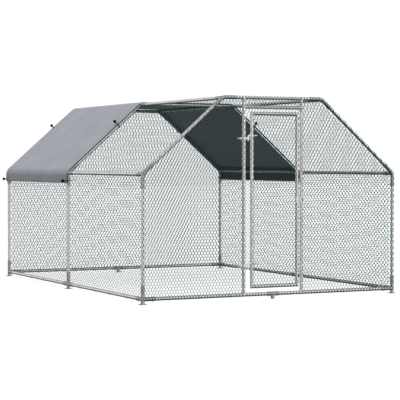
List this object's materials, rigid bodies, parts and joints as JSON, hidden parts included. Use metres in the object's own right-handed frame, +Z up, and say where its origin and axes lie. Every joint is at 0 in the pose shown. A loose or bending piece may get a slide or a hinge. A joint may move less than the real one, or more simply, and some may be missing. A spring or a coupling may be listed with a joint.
{
  "type": "metal chicken coop",
  "caption": "Walk-in run of galvanised tube arches with wire netting walls and roof, a hinged netting door with hasp, and a tied cloth cover over the rear bay.",
  "frame": {"origin": "centre of the footprint on the ground", "axes": "+Z up, -Y out through the door, +X to the right for a person outside who faces the door"},
  "size_m": [2.9239, 3.9201, 1.9763],
  "materials": {
    "galvanised_tube": "satin",
    "galvanised_connector": "satin",
    "zinc_hardware": "satin",
    "wire_netting": "satin",
    "cover_cloth": "matte",
    "black_elastic": "satin"
  },
  "bodies": {
    "frame": {"base_corner_connectors": "galvanised_connector", "base_side_tees": "galvanised_connector", "bungee_ties": "black_elastic", "door_lintel": "galvanised_tube", "door_surround_netting": "wire_netting", "eave_corner_connectors": "galvanised_connector", "eave_middle_connectors": "galvanised_connector", "foot_plates": "galvanised_connector", "frame_bolts": "zinc_hardware", "frame_nuts": "zinc_hardware", "front_base_rails": "galvanised_tube", "front_left_netting": "wire_netting", "front_left_post": "galvanised_tube", "front_left_rafter": "galvanised_tube", "front_right_netting": "wire_netting", "front_right_post": "galvanised_tube", "front_right_rafter": "galvanised_tube", "front_top_rail": "galvanised_tube", "gable_foot_tees": "galvanised_connector", "hinge_eye_bolts": "zinc_hardware", "left_base_rails": "galvanised_tube", "left_door_jamb": "galvanised_tube", "left_eave_rails": "galvanised_tube", "left_ridge_rails": "galvanised_tube", "left_roof_netting": "wire_netting", "left_wall_netting": "wire_netting", "middle_left_post": "galvanised_tube", "middle_left_rafter": "galvanised_tube", "middle_right_post": "galvanised_tube", "middle_right_rafter": "galvanised_tube", "middle_top_rail": "galvanised_tube", "netting_rings": "zinc_hardware", "rear_base_rails": "galvanised_tube", "rear_gable_netting": "wire_netting", "rear_left_post": "galvanised_tube", "rear_left_rafter": "galvanised_tube", "rear_right_post": "galvanised_tube", "rear_right_rafter": "galvanised_tube", "rear_top_rail": "galvanised_tube", "ridge_corner_connectors": "galvanised_connector", "ridge_middle_connectors": "galvanised_connector", "right_base_rails": "galvanised_tube", "right_door_jamb": "galvanised_tube", "right_eave_rails": "galvanised_tube", "right_ridge_rails": "galvanised_tube", "right_roof_netting": "wire_netting", "right_wall_netting": "wire_netting", "roof_cover": "cover_cloth", "staple_plate": "zinc_hardware", "top_netting": "wire_netting"},
    "door": {"door_hinge_stile": "galvanised_tube", "door_latch_stile": "galvanised_tube", "door_top_rail": "galvanised_tube", "door_bottom_rail": "galvanised_tube", "door_netting": "wire_netting", "hinge_pin_bolts": "zinc_hardware", "hasp_leaf": "zinc_hardware", "hasp_pin": "zinc_hardware"},
    "hasp": {"hasp_flap": "zinc_hardware"},
    "staple": {"turn_staple": "zinc_hardware"}
  },
  "joints": [
    {"name": "door_swing", "type": "hinge", "parent": "frame", "child": "door", "pos_m": [-0.273, -1.925, 0.9385], "axis": [0, 0, -1], "range_deg": [0, 120]},
    {"name": "hasp_swing", "type": "hinge", "parent": "door", "child": "hasp", "pos_m": [0.288, -1.946, 0.962], "axis": [0, 0, -1], "range_deg": [0, 150]},
    {"name": "staple_turn", "type": "hinge", "parent": "frame", "child": "staple", "pos_m": [0.32, -1.925, 0.962], "axis": [0, -1, 0], "range_deg": [0, 90]}
  ]
}
